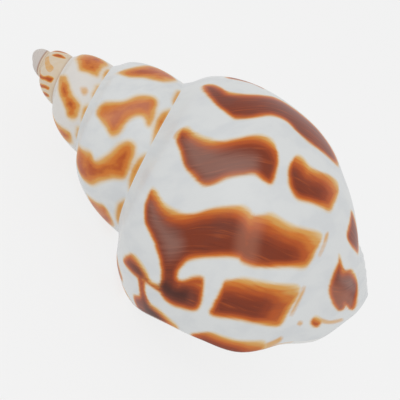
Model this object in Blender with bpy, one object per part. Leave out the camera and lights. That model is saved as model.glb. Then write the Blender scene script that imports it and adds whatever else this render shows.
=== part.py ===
"""Babylon shell, one solid, in metres with +Z up: the shell lies on its aperture side with its axis near +X.

The surface is a helicospiral. One whorl profile is carried round the axis, grows every turn and hangs on
the suture, which is the line where each whorl meets the one before it. A second, closed profile carried
back from the lip is the hollow inside, so the aperture and the hollow behind it are part of the solid.
"""

import math

import bmesh
import bpy
import numpy as np
from mathutils import Euler, Matrix, Vector

# Sizes. All lengths of the growth tables are in whorl heights, measured two turns before the lip.
WHORL_HEIGHT = 0.00744
COLLECTION_NAME = "babylon_shell"
OBJECT_NAME = "shell"

# Growth per turn at a number of turns before the lip, across the axis and along it.
GROWTH_AT_TURNS = (-4.5, -2.5, -1.5, -0.5, 0.0)
GROWTH_ACROSS = (1.959, 1.728, 1.728, 1.521, 1.521)
GROWTH_ALONG = (1.959, 1.728, 1.728, 1.308, 1.308)
SUTURE_STEP_AT_TURNS = (-4.0, -1.5)
SUTURE_STEP = (0.491, 0.442)
FIRST_GROWTH = 1.959
FIRST_TURN = -6.0
NUCLEUS_TURN = -4.5

# Where the growth angle is zero, seen from the apex end: 180 degrees plus this.
LIP_TURN_OFFSET = 0.25

# Whorl profile from the suture to the crest of the fasciole: height below the suture and reach beyond it.
PROFILE = (
    (0.00, 0.000),
    (0.06, 0.059),
    (0.15, 0.185),
    (0.28, 0.278),
    (0.45, 0.353),
    (0.68, 0.410),
    (1.00, 0.433),
    (1.30, 0.412),
    (1.52, 0.350),
    (1.68, 0.262),
    (1.84, 0.172),
    (2.02, 0.036),
    (2.14, -0.080),
    (2.23, -0.150),
    (2.34, -0.240),
    (2.42, -0.335),
)
# Umbilicus from the crest to the axis: height below the suture and radius.
UMBILICUS = (
    (2.415, 0.285),
    (2.33, 0.215),
    (2.18, 0.165),
    (2.03, 0.120),
    (1.93, 0.065),
    (1.90, 0.000),
)
SUTURE_ROW = 6

# The lip follows the growth lines: its angle in degrees against the height below the suture.
LIP_HEIGHTS = (0.0, 0.25, 0.46, 0.58, 0.70, 1.13, 1.54, 1.64, 1.73, 1.93, 2.03, 2.11, 2.24, 2.34, 2.43)
LIP_ANGLES = (
    -13.0,
    -21.0,
    -29.5,
    -35.5,
    -41.5,
    -52.0,
    -58.5,
    -62.5,
    -67.5,
    -72.5,
    -76.0,
    -83.0,
    -98.0,
    -116.0,
    -130.0,
)

# Hollow: wall thickness, callus thickness, the columella side (height, radius) and how far back it runs.
WALL = 0.060
LIP_WALL = 0.034
LIP_TAPER = math.radians(28.0)
CALLUS = 0.022
HOLLOW_FIRST_HEIGHT = 0.13
HOLLOW_LAST_HEIGHT = 2.20
HOLLOW_TIP = ((2.255, 0.420), (2.25, 0.365))
COLUMELLA = (
    (2.16, 0.305),
    (2.03, 0.255),
    (1.86, 0.220),
    (1.66, 0.200),
    (1.46, 0.195),
    (1.27, 0.205),
    (1.10, 0.235),
)
PARIETAL_FIRST_HEIGHT = 2.24
PARIETAL_LAST_HEIGHT = 1.15
HOLLOW_TURNS = 1.15
# The callus spreads this far in front of the mouth, down to this share of the rows below the suture.
CALLUS_SPREAD = math.radians(14.0)
CALLUS_SHARE = 0.8
CALLUS_ROUNDNESS = 0.7
LIP_ROUNDING = 0.5
MOST_ROUNDING = 0.16

# Height of the tip's point over the first whorl, in radii of that whorl.
TIP_HEIGHT = 0.35

# Rounds in which a lip angle settles, and fine steps that a curve is read from.
ROUNDS = 6
FINE_STEPS = 801

# Mesh density.
COLUMNS_PER_TURN = 44
ROWS_TO_SUTURE = 9
ROWS_BELOW = 12
ROWS_UMBILICUS = 5
HOLLOW_STEPS = 40
HOLLOW_STEPS_AT_LIP = 0.65
HOLLOW_OUTER = 13
HOLLOW_PARIETAL = 7

# Rest pose on the lip and the belly of the last whorl: turns about X, Y and Z in degrees, then a move.
# The move puts what touches the floor a fifth of a millimetre under it, and that much is worn flat.
REST_TURNS = (-107.6, -57.0, 109.9)
REST_MOVE = (-0.030404, -0.001111, 0.008702)


def curve_through(points: np.ndarray, count: int) -> np.ndarray:
    """Even steps along a smooth curve through the points."""
    steps = np.r_[0, np.cumsum(np.hypot(*np.diff(points, axis=0).T))]
    slopes = np.gradient(points, steps, axis=0)
    fine = np.linspace(0, steps[-1], FINE_STEPS)
    fine_points = hermite(steps, points, slopes, fine)
    length = np.r_[0, np.cumsum(np.hypot(*np.diff(fine_points, axis=0).T))]
    wanted = np.linspace(0, length[-1], count)
    return np.column_stack([np.interp(wanted, length, fine_points[:, k]) for k in (0, 1)])


def hermite(knots: np.ndarray, values: np.ndarray, slopes: np.ndarray, at: np.ndarray) -> np.ndarray:
    """Cubic Hermite curve with the given slopes at the knots."""
    i = np.clip(np.searchsorted(knots, at, side="right") - 1, 0, len(knots) - 2)
    h = (knots[i + 1] - knots[i])[:, None]
    t = (at - knots[i])[:, None] / h
    start = (1 + 2 * t) * (1 - t) ** 2 * values[i] + t * (1 - t) ** 2 * h * slopes[i]
    end = t * t * (3 - 2 * t) * values[i + 1] + t * t * (t - 1) * h * slopes[i + 1]
    return start + end


class Growth:
    """Suture and scales of the spiral at any growth angle, which is zero at the lip and negative before it."""

    STEPS = 360

    def __init__(self) -> None:
        count = int(-FIRST_TURN * self.STEPS)
        turns = np.arange(-count, 1) / self.STEPS
        self.angle = turns * 2 * math.pi
        across = self.scale(turns, GROWTH_ACROSS)
        along = self.scale(turns, GROWTH_ALONG)
        step = np.interp(turns, SUTURE_STEP_AT_TURNS, SUTURE_STEP)
        radius = across * step / (FIRST_GROWTH - 1)
        height = along / (FIRST_GROWTH - 1)
        for i in range(self.STEPS, count + 1):
            radius[i] = radius[i - self.STEPS] + across[i - self.STEPS] * step[i - self.STEPS]
            height[i] = height[i - self.STEPS] + along[i - self.STEPS]
        self.tables = (across, along, radius, height, step)

    def scale(self, turns: np.ndarray, growth: tuple) -> np.ndarray:
        """Size at each step, one whorl height two turns before the lip."""
        rate = np.interp(turns, GROWTH_AT_TURNS, np.log(growth))
        total = np.r_[0, np.cumsum((rate[1:] + rate[:-1]) / 2 / self.STEPS)]
        return np.exp(total - np.interp(-2.0, turns, total))

    def at(self, angle: np.ndarray) -> tuple:
        """Scale across, scale along, suture radius, suture height and suture step at the angles."""
        return tuple(np.interp(angle, self.angle, table) for table in self.tables)


def lip_angle(height: np.ndarray) -> np.ndarray:
    """Growth angle of the lip at a height below the suture, in radians."""
    knots = np.array(LIP_HEIGHTS)
    values = np.radians(LIP_ANGLES)[:, None]
    slopes = np.gradient(values, knots, axis=0)
    inside = np.clip(height, knots[0], knots[-1])
    return hermite(knots, values, slopes, np.ravel(inside))[:, 0].reshape(np.shape(height))


class Shell:
    """The surface, built in whorl heights about the Z axis with the apex up."""

    def __init__(self) -> None:
        self.growth = Growth()
        upper = curve_through(np.array(PROFILE[: SUTURE_ROW + 1]), ROWS_TO_SUTURE + 1)
        lower = self.lower_curve(ROWS_BELOW + 1)
        self.profile = np.vstack([upper, lower[1:]])
        self.umbilicus = curve_through(np.array(UMBILICUS), ROWS_UMBILICUS + 1)
        self.suture_reach = PROFILE[SUTURE_ROW][1]
        self.rows = len(self.profile) + len(self.umbilicus)
        self.vertices: list = []
        self.faces: list = []

    def lower_curve(self, count: int) -> np.ndarray:
        """The profile below the next suture."""
        whole = curve_through(np.array(PROFILE), FINE_STEPS)
        start = np.argmin(np.abs(whole[:, 0] - PROFILE[SUTURE_ROW][0]))
        part = whole[start:]
        wanted = np.linspace(0, len(part) - 1, count).round().astype(int)
        return part[wanted]

    def radius_height(self, angle: np.ndarray, height: np.ndarray, reach: np.ndarray) -> tuple:
        """Radius and height of profile points at an angle. The reach eases in to the step of the suture."""
        across, along, suture, top, step = self.growth.at(angle)
        ease = np.clip(height, 0, 1)
        return suture + across * (reach + (step - self.suture_reach) * ease), top + along * height

    def row(self, row: int, angle: np.ndarray) -> tuple:
        """Radius and height of one row of the last whorl."""
        if row < len(self.profile):
            return self.radius_height(angle, *self.profile[row])
        height, radius = self.umbilicus[row - len(self.profile)]
        across, along, _, top, _ = self.growth.at(angle)
        return across * radius, top + along * height

    def row_height(self, row: int) -> float:
        """Height of a row below the suture."""
        if row < len(self.profile):
            return self.profile[row][0]
        return self.umbilicus[row - len(self.profile)][0]

    def add(self, angle: float, radius: float, height: float) -> int:
        """A new vertex, and its number."""
        turn = angle + math.pi + LIP_TURN_OFFSET
        self.vertices.append((radius * math.cos(turn), -radius * math.sin(turn), -height))
        return len(self.vertices) - 1

    def sheet(self) -> None:
        """The outside of all whorls."""
        n = COLUMNS_PER_TURN
        lip = float(lip_angle(np.array(0.0)))
        self.columns = int(-NUCLEUS_TURN * n)
        grid: dict = {}
        for i in range(self.columns + 1):
            last = i >= self.columns - n
            plain = lip + (i - self.columns) * 2 * math.pi / n
            for row in range(self.rows if last else ROWS_TO_SUTURE):
                angle = plain
                if last:
                    ahead = (i - self.columns + n) / n
                    start = self.start_angle(row)
                    end = float(lip_angle(np.array(self.row_height(row))))
                    angle = start + (end - start) * ahead
                grid[i, row] = self.add(angle, *self.row(row, angle))
        for i in range(self.columns - n):
            grid[i, ROWS_TO_SUTURE] = grid[i + n, 0]
        grid[self.columns - n, ROWS_TO_SUTURE] = grid[self.columns, 0]
        self.grid = grid
        for i in range(self.columns):
            rows = self.rows - 1 if i >= self.columns - n else ROWS_TO_SUTURE
            for row in range(rows):
                corners = [grid[i, row], grid[i + 1, row], grid[i + 1, row + 1], grid[i, row + 1]]
                self.faces.append(corners)
        self.nucleus()

    def start_angle(self, row: int) -> float:
        """Where a row of the last whorl starts: one turn behind the lip, which stands over it."""
        back = float(lip_angle(np.array(0.0))) - 2 * math.pi
        if row <= ROWS_TO_SUTURE:
            return back
        angle = back
        for _ in range(ROUNDS):
            _, along, _, top, _ = self.growth.at(angle + 2 * math.pi)
            _, height = self.row(row, np.array(angle))
            angle = float(lip_angle(np.array((height - top) / along))) - 2 * math.pi
        share = (row - ROWS_TO_SUTURE) / (self.rows - 1 - ROWS_TO_SUTURE) / CALLUS_SHARE
        if share >= 1:
            return angle
        return angle + CALLUS_SPREAD * math.sin(math.pi * share) ** CALLUS_ROUNDNESS

    def nucleus(self) -> None:
        """Closes the tip."""
        n = COLUMNS_PER_TURN
        first = [self.grid[i, 0] for i in range(n + 1)]
        points = np.array([self.vertices[k] for k in first])
        tip = len(self.vertices)
        self.vertices.append((0.0, 0.0, float(points[:, 2].max() + TIP_HEIGHT * np.hypot(*points[0, :2]))))
        for a, b in zip(first[:-1], first[1:]):
            self.faces.append([tip, b, a])
        edge = [self.grid[0, row] for row in range(ROWS_TO_SUTURE + 1)]
        for a, b in zip(edge[:-1], edge[1:]):
            self.faces.append([tip, a, b])

    def hollow_rules(self) -> list:
        """The points of the hollow's section: kind, height, and radius or reach."""
        whole = curve_through(np.array(PROFILE), FINE_STEPS)
        heights = np.linspace(0, 1, HOLLOW_OUTER) ** 0.93
        heights = HOLLOW_FIRST_HEIGHT + heights * (HOLLOW_LAST_HEIGHT - HOLLOW_FIRST_HEIGHT)
        rules = []
        for height in heights:
            k = int(np.clip(np.argmin(np.abs(whole[:, 0] - height)), 1, FINE_STEPS - 2))
            rules.append(("outer", k))
        rules += [("inner", point) for point in HOLLOW_TIP + COLUMELLA]
        for height in np.linspace(PARIETAL_FIRST_HEIGHT, PARIETAL_LAST_HEIGHT, HOLLOW_PARIETAL):
            k = int(np.clip(np.argmin(np.abs(whole[:, 0] - height)), 1, FINE_STEPS - 2))
            rules.append(("parietal", k))
        self.whole = whole
        return rules

    def offset_point(self, k: int, angle: float, thickness: float) -> tuple:
        """A point of the profile moved along its normal."""
        ends = [self.radius_height(angle, *self.whole[k + d]) for d in (-1, 1)]
        radius, height = self.radius_height(angle, *self.whole[k])
        along = np.array([ends[1][0] - ends[0][0], ends[1][1] - ends[0][1]])
        along /= np.hypot(*along)
        return radius + along[1] * thickness, height - along[0] * thickness

    def hollow_point(self, rule: tuple, back: float) -> int:
        """A vertex of the hollow, a number of radians behind the lip."""
        kind, place = rule
        if kind == "outer":
            lip = float(lip_angle(np.array(self.whole[place][0])))
            angle = lip - back
            across = self.growth.at(angle)[0]
            ease = min(1.0, back / LIP_TAPER)
            wall = LIP_WALL + (WALL - LIP_WALL) * ease * ease * (3 - 2 * ease)
            return self.add(angle, *self.offset_point(place, angle, -wall * across))
        if kind == "inner":
            lip = float(lip_angle(np.array(place[0])))
            angle = lip - back
            across, along, _, top, _ = self.growth.at(angle)
            return self.add(angle, across * place[1], top + along * place[0])
        angle = 0.0
        for _ in range(ROUNDS):
            _, along, _, top, _ = self.growth.at(angle)
            _, height = self.radius_height(angle - 2 * math.pi, *self.whole[place])
            angle = float(lip_angle(np.array((height - top) / along)))
        angle -= back
        across = self.growth.at(angle)[0]
        radius, height = self.offset_point(place, angle - 2 * math.pi, CALLUS * across)
        return self.add(angle, radius, height)

    def hollow(self) -> None:
        """The inside, from the lip back round the axis, and its closed end."""
        rules = self.hollow_rules()
        turns = HOLLOW_TURNS * 2 * math.pi
        rings = []
        for k in range(HOLLOW_STEPS + 1):
            share = k / HOLLOW_STEPS
            back = turns * share * (HOLLOW_STEPS_AT_LIP + (1 - HOLLOW_STEPS_AT_LIP) * share)
            rings.append([self.hollow_point(rule, back) for rule in rules])
        for near, far in zip(rings[:-1], rings[1:]):
            for a in range(len(rules)):
                b = (a + 1) % len(rules)
                self.faces.append([near[a], near[b], far[b], far[a]])
        middle = np.mean([self.vertices[k] for k in rings[-1]], axis=0)
        end = len(self.vertices)
        self.vertices.append(tuple(middle))
        for a in range(len(rules)):
            self.faces.append([rings[-1][a], rings[-1][(a + 1) % len(rules)], end])
        self.mouth = rings[0]
        self.rules = rules

    def rim(self) -> None:
        """The lip, the columella's front and the callus, between the outside and the hollow."""
        ring: list = [0] * len(self.mouth)
        n = COLUMNS_PER_TURN
        last = self.columns
        lip = [self.grid[last, row] for row in range(self.rows)]
        axis = [self.grid[i, self.rows - 1] for i in range(last - 1, last - n - 1, -1)]
        start = [self.grid[last - n, row] for row in range(self.rows - 2, ROWS_TO_SUTURE, -1)]
        outer_rows = len(self.profile)
        outer = [k for k, rule in enumerate(self.rules) if rule[0] == "outer"]
        inner = [k for k, rule in enumerate(self.rules) if rule[0] == "inner"]
        parietal = [k for k, rule in enumerate(self.rules) if rule[0] == "parietal"]
        pairs = (
            (lip[:outer_rows], [self.mouth[k] for k in outer + inner[:1]]),
            (lip[outer_rows - 1 :] + axis, [self.mouth[k] for k in inner]),
            ([axis[-1]] + start + [lip[0]], [self.mouth[k] for k in [inner[-1]] + parietal + outer[:1]]),
        )
        for outside, inside in pairs:
            shares = (self.shares(outside), self.shares(inside))
            points = np.array([self.vertices[k] for k in outside])
            for k, share in zip(inside, shares[1]):
                place = self.mouth.index(k)
                if ring[place]:
                    continue
                edge = np.array([np.interp(share, shares[0], points[:, axis]) for axis in range(3)])
                ring[place] = self.rounded(edge, k, self.rules[place][0])
        for outside, inside in pairs:
            self.zip_together(outside, [ring[self.mouth.index(k)] for k in inside])
        for a in range(len(ring)):
            b = (a + 1) % len(ring)
            self.faces.append([ring[a], ring[b], self.mouth[b], self.mouth[a]])

    def shares(self, chain: list) -> np.ndarray:
        """How far along a row of vertices each one is, from 0 to 1."""
        points = np.array([self.vertices[k] for k in chain])
        length = np.r_[0, np.cumsum(np.linalg.norm(np.diff(points, axis=0), axis=1))]
        return length / length[-1]

    def rounded(self, edge: np.ndarray, inside: int, kind: str) -> int:
        """A vertex halfway across the rim, moved forward so that the rim is round."""
        point = np.array(self.vertices[inside])
        forward = np.array([point[1], -point[0], 0.0])
        forward /= np.linalg.norm(forward)
        across = float(np.linalg.norm(point - edge))
        middle = (point + edge) / 2
        if kind != "parietal":
            middle = middle + forward * min(across * LIP_ROUNDING, MOST_ROUNDING)
        self.vertices.append(tuple(middle))
        return len(self.vertices) - 1

    def zip_together(self, outside: list, inside: list) -> None:
        """Triangles between two rows of vertices that run the same way."""
        shares = (self.shares(outside), self.shares(inside))
        a = b = 0
        while a < len(outside) - 1 or b < len(inside) - 1:
            on_outside = b == len(inside) - 1 or (
                a < len(outside) - 1 and shares[0][a + 1] <= shares[1][b + 1]
            )
            if on_outside:
                self.faces.append([outside[a], outside[a + 1], inside[b]][::-1])
                a += 1
            else:
                self.faces.append([outside[a], inside[b + 1], inside[b]][::-1])
                b += 1

    def build(self) -> bmesh.types.BMesh:
        """The closed mesh in metres, with the apex up."""
        self.sheet()
        self.hollow()
        self.rim()
        mesh = bmesh.new()
        vertices = [mesh.verts.new(Vector(v) * WHORL_HEIGHT) for v in self.vertices]
        for face in self.faces:
            corners = list(dict.fromkeys(face))
            if len(corners) > 2:
                mesh.faces.new([vertices[k] for k in corners])
        bmesh.ops.remove_doubles(mesh, verts=mesh.verts, dist=1e-6)
        bmesh.ops.recalc_face_normals(mesh, faces=mesh.faces)
        return mesh


def lay_down(mesh: bmesh.types.BMesh) -> None:
    """Turns the mesh to its rest pose and wears what touches the floor flat."""
    turns = Euler([math.radians(a) for a in REST_TURNS], "XYZ").to_matrix().to_4x4()
    bmesh.ops.transform(mesh, matrix=Matrix.Translation(REST_MOVE) @ turns, verts=mesh.verts)
    for vertex in mesh.verts:
        vertex.co.z = max(0.0, vertex.co.z)


def main() -> None:
    """Builds the shell as one object."""
    for old in list(bpy.data.objects):
        bpy.data.objects.remove(old, do_unlink=True)
    collection = bpy.data.collections.new(COLLECTION_NAME)
    bpy.context.scene.collection.children.link(collection)
    shell = Shell().build()
    lay_down(shell)
    data = bpy.data.meshes.new(OBJECT_NAME)
    shell.to_mesh(data)
    shell.free()
    obj = bpy.data.objects.new(OBJECT_NAME, data)
    collection.objects.link(obj)
    material = bpy.data.materials.new("porcelain_white")
    material.use_nodes = True
    surface = material.node_tree.nodes["Principled BSDF"]
    surface.inputs["Base Color"].default_value = (0.72, 0.68, 0.62, 1.0)
    surface.inputs["Roughness"].default_value = 0.3
    data.materials.append(material)


main()
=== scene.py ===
"""Babylon shell: the finished look of one sea snail's shell, lying on its mouth side in a pale studio.

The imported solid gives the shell's place. Its surface is modelled again here at full fineness from the same
growth rules, because a whorl that grows as it turns and hangs on its own last turn is a loft between unlike
sections, which no primitive, operator or modifier makes. Every corner of a face knows when that bit of
shell grew and how far below the suture it lies, and the colour pattern is drawn in those two numbers.
"""

from __future__ import annotations

import logging
import math
import random
from dataclasses import dataclass, field
from enum import Enum
from typing import Callable, Optional, Union

import bpy
import numpy as np
from mathutils import Euler, Matrix, Vector


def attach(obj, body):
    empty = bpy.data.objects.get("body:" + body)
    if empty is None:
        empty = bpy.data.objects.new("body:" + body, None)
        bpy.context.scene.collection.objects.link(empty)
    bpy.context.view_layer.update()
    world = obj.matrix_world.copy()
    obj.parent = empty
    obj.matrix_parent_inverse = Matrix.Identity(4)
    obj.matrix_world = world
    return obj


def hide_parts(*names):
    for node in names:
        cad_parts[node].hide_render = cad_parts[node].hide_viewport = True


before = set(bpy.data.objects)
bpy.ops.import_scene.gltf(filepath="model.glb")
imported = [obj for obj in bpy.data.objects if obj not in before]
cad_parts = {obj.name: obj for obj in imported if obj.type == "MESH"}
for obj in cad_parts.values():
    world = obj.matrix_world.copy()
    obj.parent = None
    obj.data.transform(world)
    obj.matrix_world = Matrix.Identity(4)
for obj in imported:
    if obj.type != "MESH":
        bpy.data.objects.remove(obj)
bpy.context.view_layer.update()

log = logging.getLogger("babylon_shell")

TURN = 2 * math.pi
# Steps in a finely read curve.
FINE_STEPS = 2000
# Length over which the bends of the umbilicus and the columella are evened out, in whorl heights.
BEND_SOFTNESS = 0.02
# Rounds in which the growth angle settles at which the lip meets the last whorl but one.
SETTLING_ROUNDS = 8
HUNDREDTH = 0.01
Colour = tuple[float, float, float]


def srgb(red: int, green: int, blue: int) -> Colour:
    """Linear values of a colour given as it looks on a screen, 0 to 255."""
    shares = [channel / 255 for channel in (red, green, blue)]
    return tuple(s / 12.92 if s <= 0.04045 else ((s + 0.055) / 1.055) ** 2.4 for s in shares)


def ease(value: np.ndarray, low: float, high: float) -> np.ndarray:
    """Smooth step from 0 at low to 1 at high."""
    share = np.clip((value - low) / (high - low), 0.0, 1.0)
    return share * share * (3 - 2 * share)


def hermite(knots: np.ndarray, values: np.ndarray, slopes: np.ndarray, at: np.ndarray) -> np.ndarray:
    """Reads a cubic curve that has the given slopes at its knots.

    Args:
        knots: Increasing places of the known values.
        values: One row for each knot.
        slopes: One row for each knot.
        at: Places at which the curve is read.

    Returns:
        One row for each place.
    """
    i = np.clip(np.searchsorted(knots, at, side="right") - 1, 0, len(knots) - 2)
    width = (knots[i + 1] - knots[i])[:, None]
    t = (at - knots[i])[:, None] / width
    start = (1 + 2 * t) * (1 - t) ** 2 * values[i] + t * (1 - t) ** 2 * width * slopes[i]
    end = t * t * (3 - 2 * t) * values[i + 1] + t * t * (t - 1) * width * slopes[i + 1]
    return start + end


def lengths(points: np.ndarray) -> np.ndarray:
    """Distance along a row of points, from 0 at the first."""
    return np.r_[0.0, np.cumsum(np.linalg.norm(np.diff(points, axis=0), axis=1))]


def shares(points: np.ndarray) -> np.ndarray:
    """Distance along a row of points, from 0 at the first to 1 at the last."""
    run = lengths(points)
    return run / run[-1]


def even_curve(points: np.ndarray, count: int, softness: float) -> np.ndarray:
    """Even steps along a smooth curve through the points.

    Args:
        points: The points, one row each.
        count: How many points to return.
        softness: Length over which the curve's bends are evened out, in the points' own unit.

    Returns:
        The steps, one row each, with the same two ends.
    """
    knots = lengths(points)
    slopes = np.gradient(points, knots, axis=0)
    fine = hermite(knots, points, slopes, np.linspace(0, knots[-1], FINE_STEPS + 1))
    # Past three widths the bell of weights has faded. The curve is mirrored there through its two ends.
    reach = int(3 * softness / knots[-1] * FINE_STEPS)
    weights = np.exp(-0.5 * (np.arange(-reach, reach + 1) / (reach / 3)) ** 2)
    weights /= weights.sum()
    before = 2 * fine[0] - fine[reach:0:-1]
    after = 2 * fine[-1] - fine[-2 : -reach - 2 : -1]
    padded = np.vstack([before, fine, after])
    fine = np.column_stack([np.convolve(column, weights, "valid") for column in padded.T])
    run = lengths(fine)
    wanted = np.linspace(0, run[-1], count)
    return np.column_stack([np.interp(wanted, run, column) for column in fine.T])


@dataclass(frozen=True)
class Growth:
    """How the whorls grow. Lengths are in whorl heights, measured two turns before the lip.

    Angles of growth are zero at the lip and negative before it.

    Attributes:
        whorl_height: Height of that whorl, in metres.
        at_turns: Turns at which the growths are given.
        across: Growth of the radius in a turn, there.
        along: Growth of the height in a turn, there.
        step_at_turns: Turns at which the suture's steps are given.
        suture_step: How much further out each turn of the suture lies, there.
        first_growth: Growth in a turn before the first of those.
        first_turn: Turn at which the tables start.
        nucleus_turn: Turn at which the shell itself starts.
        lip_turn_offset: Turns the whole shell about its axis, in radians.
        steps: Steps of the tables in a turn.
    """

    whorl_height: float = 0.00744
    at_turns: tuple = (-4.5, -2.5, -1.5, -0.5, 0.0)
    across: tuple = (1.959, 1.728, 1.728, 1.521, 1.521)
    along: tuple = (1.959, 1.728, 1.728, 1.308, 1.308)
    step_at_turns: tuple = (-4.0, -1.5)
    suture_step: tuple = (0.491, 0.442)
    first_growth: float = 1.959
    first_turn: float = -6.0
    nucleus_turn: float = -4.5
    lip_turn_offset: float = 0.25
    steps: int = 720

    def tables(self) -> tuple:
        """Works out the spiral step by step.

        Returns:
            The growth angles, then scale across, scale along, suture radius, suture height and suture step.
        """
        count = int(-self.first_turn * self.steps)
        turns = np.arange(-count, 1) / self.steps
        across = self.scale(turns, self.across)
        along = self.scale(turns, self.along)
        step = np.interp(turns, self.step_at_turns, self.suture_step)
        radius = across * step / (self.first_growth - 1)
        height = along / (self.first_growth - 1)
        for i in range(self.steps, count + 1):
            radius[i] = radius[i - self.steps] + across[i - self.steps] * step[i - self.steps]
            height[i] = height[i - self.steps] + along[i - self.steps]
        return turns * TURN, (across, along, radius, height, step)

    def scale(self, turns: np.ndarray, growth: tuple) -> np.ndarray:
        """Size at each turn, which is 1 two turns before the lip."""
        rate = np.interp(turns, self.at_turns, np.log(growth))
        total = np.r_[0, np.cumsum((rate[1:] + rate[:-1]) / 2 / self.steps)]
        return np.exp(total - np.interp(-2.0, turns, total))


@dataclass(frozen=True)
class Outline:
    """The whorl's profile and the lip's line, in whorl heights.

    Attributes:
        profile: Heights below the suture, and how far beyond the suture the whorl reaches there.
        umbilicus: Heights below the suture, and radii, from the base's crest to the axis.
        suture_reach: The profile's reach where the next suture lies.
        lip_line: Heights below the suture, and the lip's growth angle there in degrees.
        softness: Length over which the profile's bends are evened out.
        cords: Groove and cord round the base: height, half its width, and how far it stands out.
        ridges: The same for the growth ridges on the cord.
        ridge_spacing: Growth from one ridge to the next.
        second_wave: A second row of ridges: how many to one of the first, and their share of its depth.
    """

    profile: tuple = (
        (0.00, 0.000), (0.06, 0.059), (0.15, 0.185), (0.28, 0.278), (0.45, 0.353), (0.68, 0.410),
        (1.00, 0.433), (1.30, 0.412), (1.52, 0.350), (1.68, 0.262), (1.84, 0.172), (2.02, 0.036),
        (2.14, -0.080), (2.23, -0.150), (2.34, -0.240), (2.42, -0.335),
    )
    umbilicus: tuple = (
        (2.415, 0.285), (2.33, 0.215), (2.18, 0.165), (2.03, 0.120), (1.93, 0.065), (1.90, 0.000),
    )
    suture_reach: float = 0.433
    lip_line: tuple = (
        (0.0, -13), (0.25, -21), (0.46, -29.5), (0.58, -35.5), (0.70, -41.5), (1.13, -52), (1.54, -58.5),
        (1.64, -62.5), (1.73, -67.5), (1.93, -72.5), (2.03, -76), (2.11, -83), (2.24, -98), (2.34, -116),
        (2.43, -130),
    )
    softness: float = 0.03
    cords: tuple = ((2.185, 0.030, -0.014), (2.285, 0.060, 0.016))
    ridges: tuple = (2.30, 0.09, 0.004)
    ridge_spacing: float = math.radians(11.0)
    second_wave: tuple = (0.37, 0.5)

    def relief(self, angle: np.ndarray, height: np.ndarray) -> np.ndarray:
        """How far the white cord and its coarse growth ridges stand out, in whorl heights."""
        out = 0.0 * angle
        for middle, reach, depth in self.cords:
            out = out + depth * np.exp(-(((height - middle) / reach) ** 2))
        middle, reach, depth = self.ridges
        line = (angle - self.lip(height)) / self.ridge_spacing
        often, share = self.second_wave
        wave = np.sin(TURN * line) + share * np.sin(TURN * often * line)
        return out + depth * wave * np.exp(-(((height - middle) / reach) ** 2))

    def lip(self, height: np.ndarray) -> np.ndarray:
        """Growth angle of the lip at heights below the suture, in radians."""
        knots, degrees = np.array(self.lip_line).T
        values = np.radians(degrees)[:, None]
        slopes = np.gradient(values, knots, axis=0)
        inside = np.clip(height, knots[0], knots[-1])
        return hermite(knots, values, slopes, np.ravel(inside))[:, 0].reshape(np.shape(height))

    def fine(self, count: int) -> np.ndarray:
        """The whole profile in even steps."""
        return even_curve(np.array(self.profile), count, self.softness)


class Wall(Enum):
    """The parts of the hollow's section, in their order round the mouth."""

    OUTER = "under the outer wall"
    COLUMELLA = "along the columella"
    CALLUS = "over the last whorl but one"


@dataclass(frozen=True)
class Hollow:
    """The space inside the last whorl. Lengths and heights are in whorl heights, angles in radians.

    Attributes:
        wall, lip_wall: Thickness of the outer wall, and at the lip.
        lip_taper: Growth over which the wall thickens behind the lip.
        callus: Thickness of the glaze over the last whorl but one.
        callus_spread: How far the callus spreads back over that whorl.
        callus_share: Share of the rows over which it does.
        callus_roundness: Power of its edge's curve, rounder for less.
        heights: First and last height of the section under the outer wall.
        crowding: Power of the spacing there, even for 1.
        columella: Heights and radii along the columella, from the base upwards.
        parietal_heights: First and last height of the section over the last whorl but one.
        parietal_paint: Height below the suture that the callus is painted for.
        turns: How far the hollow runs back.
        first_pace: Length of its first step beside an even one.
        rounding, most_rounding: How far the rim swells forward, as a share of the wall, and at most.
        flatness: The same share where the rim runs flat on to the callus.
        rim_blend: Points round the mouth over which one kind of rim becomes the other.
        rim_inward: Share of being inside where the rim starts.
    """

    wall: float = 0.060
    lip_wall: float = 0.034
    lip_taper: float = math.radians(28.0)
    callus: float = 0.022
    callus_spread: float = math.radians(14.0)
    callus_share: float = 0.8
    callus_roundness: float = 0.7
    heights: tuple = (0.13, 2.20)
    crowding: float = 0.95
    columella: tuple = (
        (2.255, 0.420), (2.25, 0.365), (2.16, 0.305), (2.03, 0.255), (1.86, 0.220), (1.66, 0.200),
        (1.46, 0.195), (1.27, 0.205), (1.10, 0.235),
    )
    parietal_heights: tuple = (2.24, 1.15)
    parietal_paint: float = 1.2
    turns: float = 1.15
    first_pace: float = 0.65
    rounding: float = 0.66
    most_rounding: float = 0.208
    flatness: float = 0.33
    rim_blend: int = 5
    rim_inward: float = 0.35


@dataclass(frozen=True)
class Rest:
    """How the shell lies: turns about X, Y and Z in degrees, then a move in metres."""

    turns: tuple = (-107.6, -57.0, 109.9)
    move: tuple = (-0.030404, -0.001111, 0.008702)

    def matrix(self) -> Matrix:
        """From the shell standing apex up, in metres, to the shell at rest."""
        turned = Euler([math.radians(a) for a in self.turns], "XYZ").to_matrix().to_4x4()
        return Matrix.Translation(self.move) @ turned


@dataclass
class Patch:
    """A grid of vertices, with what each place on it knows about itself.

    Attributes:
        index: The vertices' numbers.
        angle: Growth angles in radians.
        height: Heights below the suture.
        inside: 0 outside, 1 on the outer wall's inner side, 2 on the columella and the callus.
    """

    index: np.ndarray
    angle: np.ndarray
    height: np.ndarray
    inside: np.ndarray


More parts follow.
